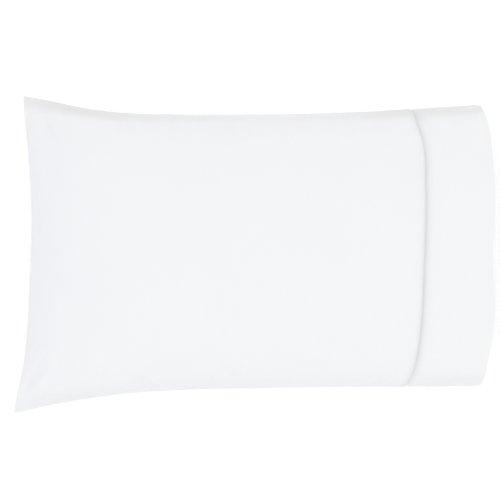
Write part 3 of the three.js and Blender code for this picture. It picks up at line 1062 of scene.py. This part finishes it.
def stitch_faces(first):
    """Faces of the tube whose points start at first, with both its ends closed."""
    faces = []
    for section in range(STITCH_SECTIONS - 1):
        here = first + section * STITCH_SIDES
        for corner in range(STITCH_SIDES):
            after = (corner + 1) % STITCH_SIDES
            faces.append((here + corner, here + after,
                          here + after + STITCH_SIDES, here + corner + STITCH_SIDES))
    end = first + (STITCH_SECTIONS - 1) * STITCH_SIDES
    faces.append(tuple(first + corner for corner in reversed(range(STITCH_SIDES))))
    faces.append(tuple(end + corner for corner in range(STITCH_SIDES)))
    return faces


def stitch_row(name, place, normal, ahead):
    """One mesh of all the stitches."""
    points, faces = [], []
    for stitch in zip(place, normal, ahead, np.cross(normal, ahead)):
        faces += stitch_faces(len(points))
        points += stitch_points(*stitch)
    mesh = bpy.data.meshes.new(name)
    mesh.from_pydata([tuple(point) for point in points], [], faces)
    mesh.shade_smooth()
    row = bpy.data.objects.new(name, mesh)
    bpy.context.scene.collection.objects.link(row)
    print(name, "points", len(points), "faces", len(faces))
    return row


hem_stitches = stitch_row("hem_stitches", *stitch_places)

# %% [markdown]
# ## Shader sockets as numbers
# A weave is arithmetic on the cloth's coordinates. Wrapping a socket in a small class lets that
# arithmetic be written as it would be on paper, while each operator adds its Math node.

# %% A socket that can be calculated with
class Value:
    """A shader socket that carries a number."""

    def __init__(self, paint, socket):
        self.paint = paint
        self.socket = socket

    def _math(self, operation, first, second=None):
        values = {0: first} if second is None else {0: first, 1: second}
        return self.paint.node("ShaderNodeMath", {"operation": operation}, values).out()

    def __add__(self, other):
        return self._math("ADD", self, other)

    def __sub__(self, other):
        return self._math("SUBTRACT", self, other)

    def __rsub__(self, other):
        return self._math("SUBTRACT", other, self)

    def __mul__(self, other):
        return self._math("MULTIPLY", self, other)

    __radd__ = __add__
    __rmul__ = __mul__

    def sine(self):
        return self._math("SINE", self)


# %% Nodes and their tree
class Node:
    """A placed node, whose outputs are read by name or number."""

    def __init__(self, paint, node):
        self.paint = paint
        self.node = node

    def out(self, name=0):
        return Value(self.paint, self.node.outputs[name])


class Paint:
    """The node tree of one material, or of the sky when its tree is given."""

    def __init__(self, name, tree=None):
        if tree is None:
            self.material = bpy.data.materials.new(name)
            self.material.use_nodes = True
            tree = self.material.node_tree
        self.tree = tree
        self.tree.nodes.clear()

    def node(self, kind, settings=None, values=None):
        """A node of a kind, with its settings first and then its sockets' values or links."""
        node = self.tree.nodes.new(kind)
        for key, setting in (settings or {}).items():
            setattr(node, key, setting)
        for key, value in (values or {}).items():
            if isinstance(value, Value):
                self.tree.links.new(value.socket, node.inputs[key])
            else:
                node.inputs[key].default_value = value
        return Node(self, node)

    def mix(self, factor, first, second):
        """Blends two colours."""
        made = self.node("ShaderNodeMix", {"data_type": "RGBA"},
                         {"Factor": factor, 6: first, 7: second})
        return made.out(2)

    def finish(self, shader_values):
        shader = self.node("ShaderNodeBsdfPrincipled", {}, shader_values)
        self.node("ShaderNodeOutputMaterial", {}, {"Surface": shader.out("BSDF")})
        return self.material


# %% [markdown]
# ## Percale
# Percale is a plain weave: every thread passes over one and under the next, so the surface is a fine
# chequer of small mounds. The mounds are a product of two sines along the cloth's own coordinates.
# Threads are never even, so long thin noise runs with the warp and across it, and a cloudy tone keeps
# the white from looking like paper. A picture of cloth would do for one distance, but it blurs close up.

# %% Colours and threads of the cotton
WHITE = (0.799, 0.804, 0.8125, 1)
WHITE_SHADE = (0.779, 0.786, 0.7985, 1)
# painted shade: this grey darkens the groove of the tuck
PAINTED_FOLD_SHADE = (0.640, 0.660, 0.640, 1)
PAINTED_FOLD_STRENGTH = 0.56            # how much of that colour the darkest fold takes
# painted shade: this grey darkens the band beside the felled seams
PAINTED_SEAM_SHADE = (0.684, 0.678, 0.672, 1)
THREAD_PITCH = 0.00028
WEAVE_DEPTH = 0.00012
ROUGHNESS = 0.80
SLUB_WAVES = (40, 1400)     # bumps in a metre, with the thread and across it
SLUB_TONE = 0.35            # share of the slubs in the tone, where slow clouds make the rest
CLOUD_WAVES = 9
CHEQUER_HEIGHT = 0.35       # share of the weave in the relief, where the slubs make the rest
SLUB_ROUGHNESS = 0.08
RUMPLE_WAVES = (70, 95)     # faint rumples that pressing leaves
RUMPLE_DEPTH = 0.0006

print("threads in a centimetre:", round(0.01 / THREAD_PITCH))

# %% Cotton cloth
def cotton_cloth(name, white, shade, pitch, weave_depth, roughness):
    """Plain-weave cotton, with painted shade in its tuck and beside its seams."""
    paint = Paint(name)
    cloth = paint.node("ShaderNodeAttribute", {"attribute_name": "cloth"})
    axes = paint.node("ShaderNodeSeparateXYZ", {}, {0: cloth.out("Vector")})
    # the "tone" attribute says where shade is painted
    tones = paint.node("ShaderNodeAttribute", {"attribute_name": "tone"})
    tones = paint.node("ShaderNodeSeparateXYZ", {}, {0: tones.out("Vector")})
    warp = (axes.out("X") * (math.pi / pitch)).sine()
    weft = (axes.out("Y") * (math.pi / pitch)).sine()
    chequer = warp * weft * 0.5 + 0.5

    def thread_noise(stretch_x, stretch_y, detail):
        stretched = paint.node("ShaderNodeVectorMath", {"operation": "MULTIPLY"},
                               {0: cloth.out("Vector"), 1: (stretch_x, stretch_y, 1)})
        noise = paint.node("ShaderNodeTexNoise", {},
                           {"Vector": stretched.out(), "Scale": 1.0, "Detail": detail})
        return noise.out("Fac")

    with_thread, across_thread = SLUB_WAVES
    slubs = thread_noise(with_thread, across_thread, 2) + thread_noise(across_thread, with_thread, 2)
    slubs = slubs * 0.5
    clouds = thread_noise(CLOUD_WAVES, CLOUD_WAVES, 3)
    rumple = thread_noise(*RUMPLE_WAVES, 4)
    tone = slubs * SLUB_TONE + clouds * (1 - SLUB_TONE)
    colour = paint.mix(tone, shade, white)
    # painted shade of the tuck's groove, then of the band beside the felled seams
    colour = paint.mix(tones.out("X") * PAINTED_FOLD_STRENGTH, colour, PAINTED_FOLD_SHADE)
    colour = paint.mix(tones.out("Y"), colour, PAINTED_SEAM_SHADE)
    height = chequer * CHEQUER_HEIGHT + slubs * (1 - CHEQUER_HEIGHT)
    threads = paint.node("ShaderNodeBump", {},
                         {"Strength": 0.30, "Distance": weave_depth, "Height": height})
    relief = paint.node("ShaderNodeBump", {},
                        {"Strength": 0.5, "Distance": RUMPLE_DEPTH, "Height": rumple,
                         "Normal": threads.out()})
    return paint.finish({
        "Base Color": colour,
        "Roughness": roughness + slubs * SLUB_ROUGHNESS,
        "Specular IOR Level": 0.25,
        "Sheen Weight": 0.12,
        "Sheen Roughness": 0.5,
        "Normal": relief.out(),
    })


percale = cotton_cloth("percale_cotton", WHITE, WHITE_SHADE, THREAD_PITCH, WEAVE_DEPTH, ROUGHNESS)
print(percale.name, "nodes:", len(percale.node_tree.nodes))

# %% [markdown]
# The pillow has a cover of its own, of ticking: a coarser and creamier cotton, woven densely to keep the
# filling in. Its threads cross in the same way, so the same function makes it with other numbers.

# %% Ticking of the pillow
TICKING_WHITE = (0.80, 0.795, 0.78, 1)
TICKING_SHADE = (0.77, 0.76, 0.745, 1)
TICKING_PITCH = 0.00042
TICKING_DEPTH = 0.0002
TICKING_ROUGHNESS = 0.84

ticking = cotton_cloth("pillow_ticking", TICKING_WHITE, TICKING_SHADE,
                       TICKING_PITCH, TICKING_DEPTH, TICKING_ROUGHNESS)
print(ticking.name, "threads in a centimetre:", round(0.01 / TICKING_PITCH))

# %% [markdown]
# ## Sewing thread
# The thread is polyester and a little shinier than the cotton, twisted from two plies. Two twisted tubes
# for each stitch would be a hundred thousand faces, so the twist is a slanted wave in object coordinates,
# too fine to see from afar and right when seen close.

# %% Thread
PLY_WHITE = (0.90, 0.90, 0.91, 1)
# painted shade: the groove between the plies is greyed in the colour
PLY_GROOVE_PAINTED_SHADE = (0.80, 0.81, 0.82, 1)   # in the groove between the plies
TWIST_WAVES = 12000         # radians in a metre
TWIST_SLANT = 0.8
TWIST_DEPTH = 0.00005


def sewing_thread(name):
    """Smooth white thread of two plies, with painted shade in the groove between them."""
    paint = Paint(name)
    here = paint.node("ShaderNodeTexCoord").out("Object")
    axes = paint.node("ShaderNodeSeparateXYZ", {}, {0: here})
    slant = (axes.out("X") + axes.out("Y") * TWIST_SLANT + axes.out("Z")) * TWIST_WAVES
    twist = slant.sine() * 0.5 + 0.5
    bump = paint.node("ShaderNodeBump", {},
                      {"Strength": 0.4, "Distance": TWIST_DEPTH, "Height": twist})
    return paint.finish({
        "Base Color": paint.mix(twist, PLY_GROOVE_PAINTED_SHADE, PLY_WHITE),
        "Roughness": 0.45 + twist * 0.1,
        "Normal": bump.out(),
    })


thread = sewing_thread("sewing_thread")
for piece, finish in ((case_cloth, percale), (pillow_end, ticking), (hem_stitches, thread)):
    piece.data.materials.append(finish)
    print(piece.name, "is made of", finish.name)

# %% [markdown]
# ## Floor and light
# White cotton on white needs light from almost everywhere: too much direction turns soft creases hard,
# and none leaves the cloth without form. The floor glows slightly, as a light table does, which keeps
# the shadow under the case faint.

# %% Floor
FLOOR_SIZE = 30.0
FLOOR_WHITE = (0.86, 0.86, 0.86, 1)
FLOOR_GLOW = 0.16


def make_floor():
    """A wide matt floor with its own finish."""
    half = FLOOR_SIZE / 2
    mesh = bpy.data.meshes.new("floor")
    corners = [(-half, -half, 0), (half, -half, 0), (half, half, 0), (-half, half, 0)]
    mesh.from_pydata(corners, [], [(0, 1, 2, 3)])
    floor = bpy.data.objects.new("floor", mesh)
    bpy.context.scene.collection.objects.link(floor)
    paint = Paint("pale_floor")
    floor.data.materials.append(paint.finish({
        "Base Color": FLOOR_WHITE,
        "Roughness": 0.9,
        "Specular IOR Level": 0.0,
        "Emission Color": (1, 1, 1, 1),
        "Emission Strength": FLOOR_GLOW,
    }))
    return floor


make_floor()
print("floor, metres:", FLOOR_SIZE)

# %% [markdown]
# A studio for white linen is a white tent. Here it is the sky of the scene: bright overhead, dimmer low
# down so that steep cloth turns a little grey, dimmer still past the upper seam, and dimmer and cooler
# past the closed end, where such a tent is open. A white band round the horizon stands for its paper
# backdrop. One weak soft box fills from the front. Area lights alone would need five or six to be as
# even.

# %% The sky as a white tent
SKY_HIGH = 1.252            # how bright the sky is overhead
SKY_LOW = 0.62              # and low down
SKY_RISE = (0.0, 0.75)      # heights between which it grows from low to high
BACK_SHADE = 0.05           # the side past the upper seam is this much dimmer
SKY_WHITE = (1, 1, 1, 1)
END_TINT = (0.905, 0.905, 0.985, 1)     # the white past the closed end
SHADE_RISE = (0.35, 0.95)   # how far round these sides start and are at their dimmest
BACKDROP = (0.10, 0.22)     # the white band round the horizon ends between these heights
BACKDROP_BRIGHT = 1.02


def make_sky():
    """The sky's brightness and tint by the direction that one looks in."""
    world = bpy.data.worlds.new("studio")
    world.use_nodes = True
    paint = Paint("studio", world.node_tree)
    direction = paint.node("ShaderNodeTexCoord").out("Generated")
    axes = paint.node("ShaderNodeSeparateXYZ", {}, {0: direction})

    def ramp(value, start, end, first, last):
        return paint.node("ShaderNodeMapRange", {"interpolation_type": "SMOOTHSTEP"},
                          {"Value": value, "From Min": start, "From Max": end,
                           "To Min": first, "To Max": last}).out("Result")

    raised = ramp(axes.out("Z"), *SKY_RISE, SKY_LOW, SKY_HIGH)
    shaded = raised - ramp(axes.out("Y"), *SHADE_RISE, 0.0, BACK_SHADE)
    band = ramp(axes.out("Z"), *BACKDROP, 1.0, 0.0)
    bright = shaded + band * (BACKDROP_BRIGHT - shaded)
    past_end = ramp(axes.out("X") * -1.0, *SHADE_RISE, 0.0, 1.0) * (1.0 - band)
    tint = paint.mix(past_end, SKY_WHITE, END_TINT)
    sky = paint.node("ShaderNodeBackground", {}, {"Color": tint, "Strength": bright})
    paint.node("ShaderNodeOutputWorld", {}, {"Surface": sky.out("Background")})
    bpy.context.scene.world = world
    return paint


print("nodes of the sky:", len(make_sky().tree.nodes))

# %% The soft box
KEY_PLACE = (0.5, -1.6, 2.1)
KEY_AIM = (0, 0, 0.05)
KEY_SIZE = 1.4
KEY_POWER = 1.0             # watts, where the sky does most of the lighting


def soft_box(name, place, target, size, power):
    """A square lamp that faces its target."""
    light = bpy.data.lights.new(name, "AREA")
    light.shape = "SQUARE"
    light.size = size
    light.energy = power
    lamp = bpy.data.objects.new(name, light)
    lamp.location = place
    lamp.rotation_euler = (Vector(place) - Vector(target)).to_track_quat("Z", "Y").to_euler()
    bpy.context.scene.collection.objects.link(lamp)


soft_box("key", KEY_PLACE, KEY_AIM, KEY_SIZE, KEY_POWER)
bpy.context.scene.view_settings.view_transform = "Standard"
print("soft box, metres from its target:", round(math.dist(KEY_PLACE, KEY_AIM), 2))

# %% [markdown]
# ## Camera
# The camera looks almost straight down on the face of the case, a little from its closed end and its
# lower side, from about a metre and a half away. Its axes are worked out from those two tilts.

# %% Camera
CAMERA_DISTANCE = 1.50
LENS = 66.33
TILT_TO_CLOSED_END = math.radians(6.0)
TILT_TO_LOWER_SIDE = math.radians(3.6)
AIM = Vector((case_low.x + 0.374, case_low.y + 0.260, 0.060))


def make_camera():
    """The camera, with its axes worked out from its two tilts."""
    back = Vector((-math.sin(TILT_TO_CLOSED_END), -math.sin(TILT_TO_LOWER_SIDE), 0))
    back.z = math.sqrt(1 - back.length_squared)
    right = Vector((0, 1, 0)).cross(back).normalized()
    up = back.cross(right)
    data = bpy.data.cameras.new("camera")
    data.lens = LENS
    camera = bpy.data.objects.new("camera", data)
    turn = Matrix((right, up, back)).transposed().to_4x4()
    camera.matrix_world = Matrix.Translation(AIM + back * CAMERA_DISTANCE) @ turn
    bpy.context.scene.collection.objects.link(camera)
    bpy.context.scene.camera = camera
    return camera


print("camera at, metres:", [round(part, 3) for part in make_camera().matrix_world.translation])

# %% [markdown]
# ## Hand the pieces to the frame
# The cloth stands for the solid case, which is hidden. The cloth, the pillow's end and the stitches are
# attached to the frame's root body.

# %% Pieces on the frame
for piece in (case_cloth, pillow_end, hem_stitches):
    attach(piece, "root")
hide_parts("pillowcase")
print("pieces:", [piece.name for piece in (case_cloth, pillow_end, hem_stitches)])
